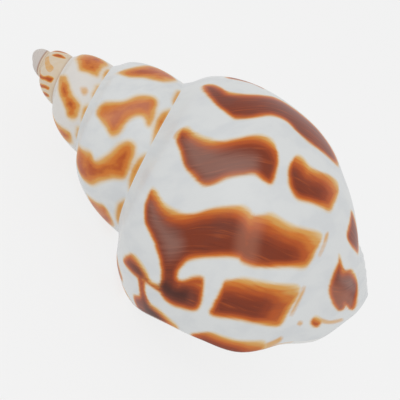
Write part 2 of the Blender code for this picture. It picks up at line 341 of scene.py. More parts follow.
@dataclass
class ShellBody:
    """The whole shell as one closed mesh.

    Attributes:
        columns: Steps in a turn.
        rows_to_suture: Rows between one suture and the next.
        rows_below: Rows of the last whorl below the suture that would come next.
        rows_umbilicus: Rows from the base's crest to the axis.
        hollow_steps: Steps that the hollow runs back.
        hollow_outer: Points of the hollow's section under the outer wall.
        hollow_inner: Points of the section along the columella.
        hollow_parietal: Points of the section over the last whorl but one.
        rim_rings: Rings that round the lip.
        tip_height: Height of the dome at the tip, as a share of its radius.
        tip_rings: Rings in that dome.
        tip_paint: Height below the suture that the dome is painted for.
    """

    growth: Growth = field(default_factory=Growth)
    outline: Outline = field(default_factory=Outline)
    hollow: Hollow = field(default_factory=Hollow)
    rest: Rest = field(default_factory=Rest)
    columns: int = 264
    rows_to_suture: int = 44
    rows_below: int = 60
    rows_umbilicus: int = 16
    hollow_steps: int = 110
    hollow_outer: int = 46
    hollow_inner: int = 30
    hollow_parietal: int = 24
    rim_rings: int = 7
    tip_height: float = 0.35
    tip_rings: int = 7
    tip_paint: float = 0.5

    def __post_init__(self) -> None:
        """Works out the tables that every surface reads."""
        self.table_angle, self.tables = self.growth.tables()
        self.whole = self.outline.fine(FINE_STEPS + 1)
        split = self.fine_step(1.0)
        upper = self.whole[np.linspace(0, split, self.rows_to_suture + 1).round().astype(int)]
        lower = self.whole[np.linspace(split, FINE_STEPS, self.rows_below + 1).round().astype(int)]
        self.profile = np.vstack([upper, lower[1:]])
        umbilicus = np.array(self.outline.umbilicus)
        self.umbilicus = even_curve(umbilicus, self.rows_umbilicus + 1, BEND_SOFTNESS)
        self.rows = len(self.profile) + len(self.umbilicus)
        self.row_heights = np.r_[self.profile[:, 0], self.umbilicus[:, 0]]
        self.points: list = []
        self.count = 0
        self.patches: list = []
        self.loose: list = []

    def at(self, angle: np.ndarray) -> tuple:
        """Scale across, scale along, suture radius, suture height and suture step at growth angles."""
        return tuple(np.interp(angle, self.table_angle, table) for table in self.tables)

    def on_profile(self, angle: np.ndarray, height: np.ndarray, reach: np.ndarray) -> tuple:
        """Radius and height of profile points. The reach eases in to the step of the suture."""
        across, along, suture, top, step = self.at(angle)
        share = np.clip(height, 0, 1)
        reach = reach + self.outline.relief(angle, height)
        radius = suture + across * (reach + (step - self.outline.suture_reach) * share)
        return radius, top + along * height

    def off_profile(self, place: int, angle: np.ndarray, thickness: np.ndarray) -> tuple:
        """Radius and height of a fine profile step, moved along the profile's normal."""
        ends = [self.on_profile(angle, *self.whole[place + d]) for d in (-1, 1)]
        radius, height = self.on_profile(angle, *self.whole[place])
        run = np.array([ends[1][0] - ends[0][0], ends[1][1] - ends[0][1]])
        run = run / np.hypot(*run)
        return radius + run[1] * thickness, height - run[0] * thickness

    def add(self, angle: np.ndarray, radius: np.ndarray, height: np.ndarray) -> np.ndarray:
        """Adds vertices.

        Args:
            angle: Growth angles.
            radius: Distances from the axis.
            height: Distances from the apex.

        Returns:
            Their numbers, in the shape of the arguments.
        """
        turn = angle + math.pi + self.growth.lip_turn_offset
        places = np.stack([radius * np.cos(turn), -radius * np.sin(turn), -height + 0 * turn], -1)
        return self.add_points(places)

    def add_points(self, places: np.ndarray) -> np.ndarray:
        """Adds vertices given by their places, and returns their numbers."""
        shape = places.shape[:-1]
        places = places.reshape(-1, 3)
        self.points.append(places)
        first = self.count
        self.count += len(places)
        return np.arange(first, self.count).reshape(shape)

    def place(self, numbers: np.ndarray) -> np.ndarray:
        """Places of vertices."""
        return np.vstack(self.points)[numbers]

    def start_angle(self, row: int) -> float:
        """Where a row of the last whorl starts: one turn behind the lip, which stands over it."""
        back = float(self.outline.lip(np.array(0.0))) - TURN
        if row <= self.rows_to_suture:
            return back
        angle = back
        for _ in range(SETTLING_ROUNDS):
            _, along, _, top, _ = self.at(angle + TURN)
            _, height = self.row(row, np.array(angle))
            angle = float(self.outline.lip((height - top) / along)) - TURN
        hollow = self.hollow
        share = (row - self.rows_to_suture) / (self.rows - 1 - self.rows_to_suture) / hollow.callus_share
        if share >= 1:
            return angle
        return angle + hollow.callus_spread * math.sin(math.pi * share) ** hollow.callus_roundness

    def row(self, row: int, angle: np.ndarray) -> tuple:
        """Radius and height of one row of the last whorl."""
        if row < len(self.profile):
            return self.on_profile(angle, *self.profile[row])
        height, radius = self.umbilicus[row - len(self.profile)]
        across, along, _, top, _ = self.at(angle)
        return across * radius, top + along * height

    def outside(self) -> None:
        """The outer surface of all whorls, from the tip to the lip."""
        n = self.columns
        lip = float(self.outline.lip(np.array(0.0)))
        early = int(-self.growth.nucleus_turn * n) - n
        plain = lip + (np.arange(early + n + 1) - early - n) * TURN / n
        to_suture = self.rows_to_suture

        angle = np.repeat(plain[:early, None], to_suture, axis=1)
        radius, height = self.on_profile(angle, *self.profile[:to_suture].T)
        spire = self.add(angle, radius, height)

        ahead = np.linspace(0, 1, n + 1)
        last = np.empty((n + 1, self.rows), int)
        last_angle = np.empty((n + 1, self.rows))
        for row in range(self.rows):
            start = self.start_angle(row)
            end = float(self.outline.lip(self.row_heights[row]))
            last_angle[:, row] = start + (end - start) * ahead
            last[:, row] = self.add(last_angle[:, row], *self.row(row, last_angle[:, row]))
        last[0, to_suture] = last[n, 0]

        first_row = np.r_[spire[:, 0], last[:, 0]]
        spire_index = np.vstack([spire, last[:1, :to_suture]])
        spire_index = np.column_stack([spire_index, first_row[n : n + early + 1]])
        spire_angle = np.repeat(plain[: early + 1, None], to_suture + 1, axis=1)
        # Past the crest the umbilicus runs back up, so its painted heights are mirrored to go on growing.
        crest = self.profile[-1, 0]
        painted = np.r_[self.profile[:, 0], 2 * crest - self.umbilicus[:, 0]]
        heights = np.repeat(painted[None, :], n + 1, axis=0)
        spire_heights = np.repeat(heights[:1, : to_suture + 1], early + 1, axis=0)
        self.patches.append(Patch(spire_index, spire_angle, spire_heights, 0 * spire_angle))
        self.patches.append(Patch(last, last_angle, heights, 0 * heights))
        self.last = last
        self.nucleus(spire_index, plain)

    def nucleus(self, spire: np.ndarray, plain: np.ndarray) -> None:
        """Closes the tip with a low dome."""
        n = self.columns
        ring = np.r_[spire[: n + 1, 0], spire[0, ::-1]]
        places = self.place(ring)
        dome = self.tip_height * float(np.hypot(*places[0, :2]))
        foot = places[:, 2].max()
        rings = [ring]
        for turn in np.linspace(0, math.pi / 2, self.tip_rings + 2)[1:-1]:
            share = math.cos(turn)
            inner = places * [share, share, 1]
            inner[:, 2] = places[:, 2] * share + foot * (1 - share) + math.sin(turn) * dome
            numbers = self.add_points(inner[:-1])
            rings.append(np.r_[numbers, numbers[:1]])
        tip = self.add_points(np.array([0.0, 0.0, foot + dome]))
        rings.append(np.full(len(ring), int(tip)))
        index = np.array(rings)[::-1]
        angle = np.full(index.shape, plain[0])
        self.patches.append(Patch(index, angle, 0 * angle + self.tip_paint, 0 * angle))

    def section(self) -> list:
        """The hollow's section as rules.

        Returns:
            For each point its wall, and its fine profile step or its height and radius.
        """
        hollow = self.hollow
        first, last = hollow.heights
        outer = first + np.linspace(0, 1, self.hollow_outer) ** hollow.crowding * (last - first)
        inner = even_curve(np.array(hollow.columella), self.hollow_inner, BEND_SOFTNESS)
        parietal = np.linspace(*hollow.parietal_heights, self.hollow_parietal)
        rules: list = [(Wall.OUTER, self.fine_step(height)) for height in outer]
        rules += [(Wall.COLUMELLA, tuple(point)) for point in inner]
        rules += [(Wall.CALLUS, self.fine_step(height)) for height in parietal]
        return rules

    def fine_step(self, height: float) -> int:
        """The fine profile step nearest to a height, not at either end."""
        return int(np.clip(np.argmin(np.abs(self.whole[:, 0] - height)), 1, FINE_STEPS - 1))

    def hollow_line(self, rule: tuple, back: np.ndarray) -> tuple:
        """One line of the hollow, running back from the lip.

        Args:
            rule: The wall and place of the line in the section.
            back: How far behind the lip each point is, in radians.

        Returns:
            The vertices' numbers, growth angles and heights below the suture.
        """
        wall, place = rule
        hollow = self.hollow
        if wall is Wall.OUTER:
            height = self.whole[place][0]
            angle = float(self.outline.lip(np.array(height))) - back
            across = self.at(angle)[0]
            thick = hollow.lip_wall + (hollow.wall - hollow.lip_wall) * ease(back, 0, hollow.lip_taper)
            return self.add(angle, *self.off_profile(place, angle, -thick * across)), angle, height
        if wall is Wall.COLUMELLA:
            angle = float(self.outline.lip(np.array(place[0]))) - back
            across, along, _, top, _ = self.at(angle)
            return self.add(angle, across * place[1], top + along * place[0]), angle, place[0]
        angle = 0.0
        for _ in range(SETTLING_ROUNDS):
            _, along, _, top, _ = self.at(angle)
            _, height = self.on_profile(angle - TURN, *self.whole[place])
            angle = float(self.outline.lip((height - top) / along))
        angle = angle - back
        across = self.at(angle)[0]
        radius, height = self.off_profile(place, angle - TURN, hollow.callus * across)
        return self.add(angle, radius, height), angle, hollow.parietal_paint

    def inside(self) -> None:
        """The wall of the hollow, from the lip back round the axis, and its closed end."""
        rules = self.section()
        share = np.linspace(0, 1, self.hollow_steps + 1)
        pace = self.hollow.first_pace
        back = self.hollow.turns * TURN * ((1 - pace) * share**2 + pace * share)
        lines = [self.hollow_line(rule, back) for rule in rules]
        index = np.array([numbers for numbers, _, _ in lines])
        angle = np.array([angles for _, angles, _ in lines])
        height = np.array([height + 0 * back for _, _, height in lines])
        end = self.add_points(self.place(index[:, -1]).mean(axis=0))
        index = np.column_stack([index, np.full(len(rules), int(end))])
        angle = np.column_stack([angle, angle[:, -1]])
        height = np.column_stack([height, height[:, -1]])
        closed = [np.vstack([grid, grid[:1]]) for grid in (index, angle, height)]
        inward = np.array([1.0 if wall is Wall.OUTER else 2.0 for wall, _ in rules + rules[:1]])
        self.patches.append(Patch(*closed, 0 * closed[1] + inward[:, None]))
        self.mouth = index[:, 0]
        self.mouth_angle = angle[:, 0]
        self.mouth_height = height[:, 0]
        self.walls = np.array([wall for wall, _ in rules])

    def pairs(self) -> tuple:
        """The outer sheet's edge round the mouth, in three runs.

        Returns:
            For each run its vertices' numbers, and the points of the hollow's section that it faces.
        """
        lip = self.last[self.columns]
        axis = self.last[self.columns - 1 :: -1, -1]
        start = self.last[0, self.rows - 2 : self.rows_to_suture : -1]
        outer_rows = len(self.profile)
        outer, inner, parietal = (np.flatnonzero(self.walls == wall) for wall in Wall)
        return (
            (lip[:outer_rows], np.r_[outer, inner[:1]]),
            (np.r_[lip[outer_rows - 1 :], axis], inner),
            (np.r_[axis[-1], start, lip[0]], np.r_[inner[-1], parietal, outer[:1]]),
        )

    def handles(self, edge: np.ndarray, mouth: np.ndarray) -> tuple:
        """The two middle points of each curve that rounds the rim.

        Args:
            edge: Places on the outer sheet's edge.
            mouth: Places on the hollow's section that face them.

        Returns:
            The points that the curves leave towards, and those that they arrive from.
        """
        hollow = self.hollow
        forward = np.column_stack([mouth[:, 1], -mouth[:, 0], 0 * mouth[:, 0]])
        forward /= np.linalg.norm(forward, axis=1)[:, None]
        across = np.linalg.norm(mouth - edge, axis=1)
        fold = np.where(self.walls == Wall.CALLUS, 0.0, 1.0)
        ends = hollow.rim_blend // 2
        weights = np.ones(hollow.rim_blend) / hollow.rim_blend
        fold = np.convolve(np.r_[fold[-ends:], fold, fold[:ends]], weights, "valid")
        swell = np.minimum(across * hollow.rounding, hollow.most_rounding) * fold
        flat = across * hollow.flatness * (1 - fold)
        return edge + forward * (swell - flat)[:, None], mouth + forward * (swell + flat)[:, None]

    def rim(self) -> None:
        """The rounded lip, the columella's front and the callus, between the outside and the hollow."""
        pairs = self.pairs()
        edge = np.zeros((len(self.walls), 3))
        for outside, inside in pairs:
            chain = self.place(outside)
            run = shares(chain)
            for k, share in zip(inside, shares(self.place(self.mouth[inside]))):
                edge[k] = [np.interp(share, run, column) for column in chain.T]
        mouth = self.place(self.mouth)
        leave, arrive = self.handles(edge, mouth)
        rings = []
        for t in np.linspace(0, 1, self.rim_rings + 2)[1:-1]:
            ring = (1 - t) ** 3 * edge + 3 * t * (1 - t) ** 2 * leave
            ring = ring + 3 * t * t * (1 - t) * arrive + t**3 * mouth
            rings.append(self.add_points(ring))
        rings.append(self.mouth)
        index = np.array(rings).T
        index = np.vstack([index, index[:1]])
        plain = np.where(self.walls == Wall.OUTER, 0.0, 1.0)
        facts = (self.mouth_angle, self.mouth_height, plain)
        angle, height, more = (np.r_[fact, fact[:1]][:, None] + 0.0 * index for fact in facts)
        inward = np.linspace(self.hollow.rim_inward, 1, index.shape[1]) + more
        self.patches.append(Patch(index[:, ::-1], angle, height, inward[:, ::-1]))
        for outside, inside in pairs:
            self.zip_rows(outside, rings[0][inside], inside)

    def zip_rows(self, outside: np.ndarray, ring: np.ndarray, places: np.ndarray) -> None:
        """Adds triangles between the sheet's edge and the rim's first ring."""
        along, along_ring = (shares(self.place(row)) for row in (outside, ring))
        a = b = 0
        while a < len(outside) - 1 or b < len(ring) - 1:
            near = places[b]
            ring_done = b == len(ring) - 1
            if ring_done or (a < len(outside) - 1 and along[a + 1] <= along_ring[b + 1]):
                corners = (ring[b], outside[a + 1], outside[a])
                a += 1
            else:
                corners = (ring[b], ring[b + 1], outside[a])
                b += 1
            inward = self.hollow.rim_inward + (0.0 if self.walls[near] is Wall.OUTER else 1.0)
            self.loose.append((corners, self.mouth_angle[near], self.mouth_height[near], inward))

    def faces(self) -> tuple:
        """All faces as quads or triangles.

        Returns:
            Rows of vertex numbers, with a repeated number where a quad is a triangle, and for each corner its
            growth angle, height below the suture and share of being inside.
        """
        rows = []
        facts = []
        here, on = slice(None, -1), slice(1, None)
        for patch in self.patches:
            grids = (patch.index, patch.angle, patch.height, patch.inside)
            index, *known = (
                np.stack([grid[cut].ravel() for cut in ((here, here), (on, here), (on, on), (here, on))], 1)
                for grid in grids
            )
            rows.append(index)
            facts.append(np.stack(known, -1))
        for corners, *fact in self.loose:
            rows.append(np.array([[*corners, corners[-1]]]))
            facts.append(np.array([[fact] * 4]))
        return np.vstack(rows), np.concatenate(facts)

    def build(self, name: str) -> tuple:
        """Makes the mesh.

        Args:
            name: The mesh's name.

        Returns:
            The mesh, and what each of its corners knows: growth angle, height and share of being inside.
        """
        self.outside()
        self.inside()
        self.rim()
        rows, facts = self.faces()
        used, numbers = np.unique(rows, return_inverse=True)
        rows = numbers.reshape(rows.shape)
        places = np.vstack(self.points)[used] * self.growth.whorl_height
        matrix = np.array(self.rest.matrix())
        places = places @ matrix[:3, :3].T + matrix[:3, 3]
        places[:, 2] = np.maximum(places[:, 2], 0.0)
        polygons: list = []
        known: list = []
        for row, fact in zip(rows.tolist(), facts):
            keep = [k for k in range(4) if row[k] not in row[:k]]
            if len(keep) > 2:
                polygons.append([row[k] for k in keep])
                known.append(fact[keep])
        mesh = bpy.data.meshes.new(name)
        mesh.from_pydata(places.tolist(), [], polygons)
        return mesh, np.vstack(known)


class Row(Enum):
    """The spiral rows in which blotches lie: first and last height below the suture."""

    UPPER = (0.14, 0.86)
    LOWER = (1.10, 1.60)
    BASE = (1.84, 2.16)
    SLIVER = (0.94, 1.03)


class Pigment(Enum):
    """What a mark does to the colour. The value names the mesh layer that holds it."""

    BROWN = "brown"
    DARK = "dark"
    FAINT = "faint"
    PALE = "pale"
    # Greyish middles of some blotches: partly their own tone, partly a painted sheen, the light's soft
    # reflection.
    MILKY = "milky"


@dataclass(frozen=True)
class Blotch:
    """One patch of colour.

    Attributes:
        name: What it looks like.
        outline: Its corners, each as degrees of growth before the lip and hundredths of a whorl height
            below the suture, all in one row.
        pigment: What it does to the colour.
        fade: Length over which its early side deepens, in whorl heights at the lip.
    """

    name: str
    outline: tuple
    pigment: Pigment = Pigment.BROWN
    fade: float = 0.12


# The blotches that the photograph shows. Their corners were picked, worked out in degrees and heights
# by casting them onto the shell from the photograph's viewpoint, and many were then moved.
SEEN_BLOTCHES = (
    Blotch(
        "long stripe under the shoulder",
        (155, 14, 157, 19, 154, 27, 151, 34, 153, 48, 162, 66, 168, 78, 171, 93, 172, 110, 171, 127, 168, 142,
         163, 155, 156, 152, 152, 136, 149.5, 121, 149, 111, 149.5, 102, 150.5, 91, 148.5, 80, 145.5, 73,
         140.5, 65, 136.5, 56, 134.5, 49, 136.5, 38, 140.5, 27, 147, 18),
        fade=0.11,
    ),
    Blotch("far stripe", (171, 30, 172, 42, 175, 53, 174, 62, 182, 66, 186, 50, 180, 32)),
    Blotch(
        "shield",
        (112, 19, 117, 18, 120, 21, 119, 27, 119, 38, 121, 50, 125, 59, 130, 68, 134, 78, 135, 88, 131, 96,
         124, 101, 119, 102, 118, 96, 118, 87, 115, 79, 111, 70, 106, 63, 103, 56, 103, 47, 104, 37, 108, 27),
        fade=0.13,
    ),
    Blotch("shield's smeared corner", (112, 15.5, 116, 15, 119, 18, 118, 24, 114, 21), Pigment.FAINT),
    # The shield's greyish middle, with a painted sheen: the light's soft reflection painted into its colour.
    Blotch(
        "shield's milky heart",
        (112, 24, 117, 28, 117, 42, 119, 56, 123, 70, 125, 82, 120, 88, 114, 82, 109, 68, 104, 58, 104, 49,
         106, 36),
        Pigment.MILKY,
    ),
    Blotch(
        "shield's neighbour",
        (125, 113, 130, 109, 136, 110, 138, 116, 137, 126, 140, 138, 143, 147, 146, 157, 143, 160, 137, 160,
         129.5, 158, 126.5, 149, 124, 138, 121.5, 127, 122.5, 118),
        fade=0.17,
    ),
    Blotch(
        "great arch",
        (79, 23, 86, 21, 88, 25, 87, 36, 88, 48, 92, 61, 98, 72, 103, 84, 105.5, 92, 105, 101, 100, 110,
         95, 116, 91, 117, 90, 108, 87, 97, 81, 82, 77, 75, 72, 73, 69, 75, 70, 80, 74, 86, 76, 93, 71, 98,
         64, 101, 59.5, 89, 57, 78, 58, 68, 64.5, 63, 69.5, 54, 72.5, 42, 74.5, 30),
        fade=0.13,
    ),
    Blotch(
        "great arch's far half",
        (105, 102, 108, 109, 110, 114, 111, 126, 113, 140, 117, 156, 116, 160, 111, 160, 105, 160, 102, 158,
         99, 148, 94, 131, 91, 120, 90, 109, 95, 104, 101, 98),
        fade=0.20,
    ),
    Blotch(
        "great arch's dark foot",
        (60, 63, 65, 66, 66, 77, 69, 85, 68, 90, 64, 92, 61, 87, 59, 79, 58, 69),
        Pigment.DARK,
    ),
    Blotch(
        "great arch's pale band",
        (109, 100, 106, 111, 99, 116, 93, 121, 89, 114, 91, 103, 98, 96, 105, 94),
        Pigment.PALE,
    ),
    # The great arch's greyish start, with a painted sheen: the light's soft reflection painted into its
    # colour.
    Blotch(
        "great arch's milky start",
        (81, 25, 84, 29, 82, 43, 83, 61, 80, 68, 75, 66, 72, 60, 75, 46, 77, 34),
        Pigment.MILKY,
    ),
    Blotch(
        "great arch's far edge",
        (119, 162.5, 121, 165, 116, 166.5, 110, 166, 110, 164.5, 115, 164),
        Pigment.FAINT,
    ),
    Blotch(
        "hatched block",
        (66, 112, 70, 110, 75, 109, 80, 108, 82, 112, 85, 119, 87, 128, 89, 138, 92, 150, 94, 159, 93, 163,
         88, 163.5, 82, 163.5, 78, 164, 75, 162, 73.5, 147, 70.5, 129),
        fade=0.16,
    ),
    Blotch(
        "hatched block's far edge",
        (95, 164.5, 95, 167, 89, 168, 82, 168.5, 82, 166.5, 88, 165.5),
        Pigment.FAINT,
    ),
    Blotch(
        "base block near the back",
        (148, 186, 138, 184, 131, 184, 129, 189, 131, 199, 136, 209, 146, 208, 150, 197),
    ),
    Blotch(
        "base block",
        (118, 184, 115, 185, 109, 185, 101, 187, 96, 196, 94, 205, 96, 210, 99, 210, 98, 217, 100, 221,
         110, 221, 120, 216, 120, 205, 115, 195),
    ),
    # The base block's greyish middle, with a painted sheen: the light's soft reflection painted into its
    # colour.
    Blotch(
        "base block's milky heart",
        (109, 190, 113, 195, 117, 209, 112, 216, 108, 208, 107, 197),
        Pigment.MILKY,
    ),
    Blotch(
        "base block's pale side",
        (104, 186, 106, 198, 107, 212, 104, 222, 97, 220, 94, 208, 95, 194, 99, 186),
        Pigment.PALE,
    ),
    Blotch("dot", (86, 187, 85, 193, 81, 193, 81, 188, 83, 185)),
    Blotch("dot's tail", (86, 191, 86.5, 202, 90, 212, 88, 213, 84.5, 203, 84, 192), Pigment.FAINT),
    Blotch("small dot", (79, 176, 81, 176, 81, 179, 79, 179), Pigment.FAINT),
    Blotch(
        "lower left stroke",
        (47, 26, 55, 30, 59, 37, 59.5, 49, 58, 57, 60, 65, 62, 72, 59, 72, 56, 59, 54, 50, 50, 38),
    ),
    Blotch("line behind the lip", (35, 15, 37, 19, 37, 25, 36, 31, 31, 30, 30, 18)),
    Blotch(
        "lower left stroke's dark middle",
        (53, 33, 57, 40, 57.5, 49, 57, 58, 60, 68, 57, 62, 54, 47),
        Pigment.DARK,
    ),
    Blotch(
        "lower left link",
        (54, 45, 57, 51, 50, 58, 48, 66, 50, 76, 50, 88, 49, 95, 42, 88, 36, 72, 34, 56, 39, 49, 45, 54,
         49, 50),
    ),
    Blotch("lower left link's dark middle", (46, 57, 47, 66, 48, 78, 47, 86, 42, 78, 39, 64), Pigment.DARK),
    Blotch(
        "bottom band",
        (51, 107, 55, 112, 59, 120, 60.5, 130, 62, 141, 64.5, 152, 65.5, 160, 57, 162, 50, 147, 45, 127,
         46, 112),
    ),
    Blotch("bottom band's far edge", (64, 160, 68, 166, 71, 170, 68, 171, 64, 167, 61, 163), Pigment.FAINT),
    Blotch("upper lens", (502, 13, 514, 26, 530, 41, 536, 52, 538, 66, 530, 88, 512, 74, 504, 48, 498, 29)),
    Blotch(
        "upper hook",
        (455, 18, 461, 17, 468, 23, 476, 42, 486, 54, 492, 70, 491, 80, 481, 87, 473, 89, 471, 84, 474, 75,
         471, 66, 465, 61, 458, 60, 453, 57, 450, 50, 452, 38, 453, 27),
    ),
    Blotch(
        "upper hook's pink middle",
        (456, 28, 464, 34, 474, 46, 484, 58, 488, 74, 478, 80, 476, 68, 467, 56, 456, 50),
        Pigment.PALE,
    ),
    Blotch(
        "upper bow",
        (410, 10, 418, 12, 424, 22, 430, 36, 429, 46, 440, 58, 450, 65, 456, 74, 456, 84, 449, 89, 440, 91,
         434, 89, 428, 76, 420, 65, 410, 54, 405, 44, 401, 30, 402, 16),
    ),
    Blotch("upper back stripe", (391, 46, 400, 66, 404, 77, 399, 88, 392, 93, 382, 88, 378, 70, 382, 52)),
    Blotch("sliver under the suture 1", (499, 97, 506, 95.5, 513, 96, 515, 102, 498, 102)),
    Blotch("sliver under the suture 2", (466, 98, 471, 94, 479, 91, 487, 93, 491, 102, 465, 102)),
    Blotch("sliver under the suture 3", (432, 98, 437, 94, 444, 92, 451, 94, 455, 102, 431, 102)),
    Blotch("sliver under the suture 4", (398, 98, 402, 95, 411, 93, 418, 95, 421, 102, 397, 102)),
    Blotch(
        "spire block",
        (881, 12, 893, 19, 899, 40, 896, 66, 893, 80, 887, 89, 877, 90, 867, 84, 852, 86, 848, 77, 846, 61,
         843, 42, 850, 31, 865, 15),
    ),
    Blotch(
        "spire stripe",
        (813, 3, 820, 2, 826, 19, 820, 36, 813, 56, 810, 77, 806, 87, 795, 89, 787, 79, 785, 65, 791, 53,
         796, 34, 801, 15),
    ),
    Blotch(
        "spire back stripe",
        (757, 18, 758, 35, 764, 54, 770, 77, 767, 86, 756, 90, 744, 72, 740, 42, 747, 18),
    ),
    Blotch("spire sliver 1", (856, 94, 864, 92, 872, 94, 874, 102, 854, 102)),
    Blotch("spire sliver 2", (828, 96, 838, 95, 841, 102, 825, 102)),
    Blotch("spire sliver 3", (797, 95, 804, 92, 810, 93, 813, 102, 795, 102)),
    Blotch("spire sliver 4", (772, 97, 782, 95, 784, 102, 770, 102)),
    Blotch("spire dot", (824, 66, 829, 77, 825, 85, 820, 79), Pigment.FAINT),
    Blotch("tip streak", (1213, 24, 1220, 26, 1229, 45, 1229, 72, 1224, 84, 1216, 66, 1211, 40)),
    Blotch("tip band", (1204, 6, 1206, 14, 1190, 34, 1184, 64, 1170, 56, 1172, 30, 1190, 4), Pigment.FAINT),
    Blotch("tip blotch", (1144, 2, 1152, 36, 1164, 60, 1167, 84, 1154, 80, 1147, 53, 1135, 23, 1132, 5)),
    Blotch("tip stripe 1", (1118, 22, 1136, 48, 1144, 78, 1135, 78, 1127, 55, 1110, 27)),
    Blotch("tip stripe 2", (1102, 40, 1117, 54, 1126, 80, 1119, 84, 1101, 55, 1094, 44)),
)


@dataclass(frozen=True)
class Span:
    """A stretch of the shell that the photograph doesn't show.

    Attributes:
        first: Degrees before the lip where it starts.
        last: Degrees before the lip where it ends.
        spacing: Degrees from one blotch to the next, about.
        row: The row of blotches that it has.
    """

    first: float
    last: float
    spacing: float
    row: Row


@dataclass(frozen=True)
class Unseen:
    """Blotches by rule, for the part of the shell that the photograph doesn't show.

    Attributes:
        spans: The stretches.
        half_width: Half a blotch's width in degrees of growth.
        widths, wavering, gaps: Least and most share of the width, of one side's reach and of the spacing.
        end_width: A blotch's width at its ends, as a share of its width in the middle.
        lean: Degrees that a blotch leans back over one whorl height, as the growth lines do.
        drift: The most degrees by which its middle bends forward or back.
        free_ends: Least and most share of its row's height that it leaves free at either end.
        stations: Places along a blotch at which its width is drawn.
        cap: How far its rounded ends reach on, as a share of its row's height.
        joined: Share of the last whorl's upper blotches that run on into the lower row.
        turn_start: Degrees before the lip up to which a blotch is on the last whorl.
        fades: Shortest and longest length over which a blotch's early side deepens.
        seed: Start of the random numbers.
    """

    spans: tuple = (
        Span(16, 30, 33.0, Row.UPPER),
        Span(194, 366, 33.0, Row.UPPER),
        Span(197, 372, 32.0, Row.LOWER),
        Span(176, 348, 31.0, Row.BASE),
        Span(556, 742, 46.0, Row.UPPER),
        Span(545, 760, 37.0, Row.SLIVER),
        Span(918, 1092, 46.0, Row.UPPER),
        Span(905, 1120, 40.0, Row.SLIVER),
        Span(1240, 1400, 40.0, Row.UPPER),
    )
    half_width: float = 9.0
    widths: tuple = (0.75, 1.3)
    end_width: float = 0.66
    wavering: tuple = (0.8, 1.2)
    lean: float = 25.0
    drift: float = 8.0
    gaps: tuple = (0.85, 1.18)
    free_ends: tuple = (-0.04, 0.22)
    stations: int = 4
    cap: float = 0.08
    joined: float = 0.35
    turn_start: float = 373.0
    fades: tuple = (0.08, 0.18)
    seed: int = 11

    def blotches(self) -> list:
        """Draws the blotches, the same ones each run."""
        dice = random.Random(self.seed)
        found = []
        for span in self.spans:
            centre = span.first
            while centre < span.last:
                last = span.row.value[1]
                on_last_whorl = centre < self.turn_start
                if span.row is Row.UPPER and on_last_whorl and dice.random() < self.joined:
                    last = dice.uniform(*Row.LOWER.value)
                found.append(self.draw(dice, centre, span.row, last))
                centre += span.spacing * dice.uniform(*self.gaps)
        return found

    def draw(self, dice: random.Random, centre: float, row: Row, last: float) -> Blotch:
        """One blotch that leans along the growth lines, with two wavering sides.

        Args:
            dice: The random numbers.
            centre: Degrees before the lip of its middle, where it starts.
            row: The row that it starts in.
            last: The height at which it ends.

        Returns:
            The blotch.
        """
        first = row.value[0]
        height = row.value[1] - first
        first += height * dice.uniform(*self.free_ends)
        last -= height * dice.uniform(*self.free_ends)
        drift = dice.uniform(-self.drift, self.drift)
        width = self.half_width * dice.uniform(*self.widths)
        middles, early, late = [], [], []
        for k in range(self.stations):
            share = k / (self.stations - 1)
            at = first + (last - first) * share
            bow = math.sin(math.pi * share)
            middle = centre + self.lean * (at - first) + drift * bow
            reach = width * (self.end_width + (1 - self.end_width) * bow)
            middles.append((middle, at))
            late.append((middle - reach * dice.uniform(*self.wavering), at))
            early.append((middle + reach * dice.uniform(*self.wavering), at))
        cap = self.cap * height
        start = (middles[0][0], middles[0][1] - cap)
        end = (middles[-1][0], middles[-1][1] + cap)
        outline = [(degrees, at / HUNDREDTH) for degrees, at in (start, *late, end, *early[::-1])]
        return Blotch(f"{row.name.lower()} blotch", sum(outline, ()), fade=dice.uniform(*self.fades))


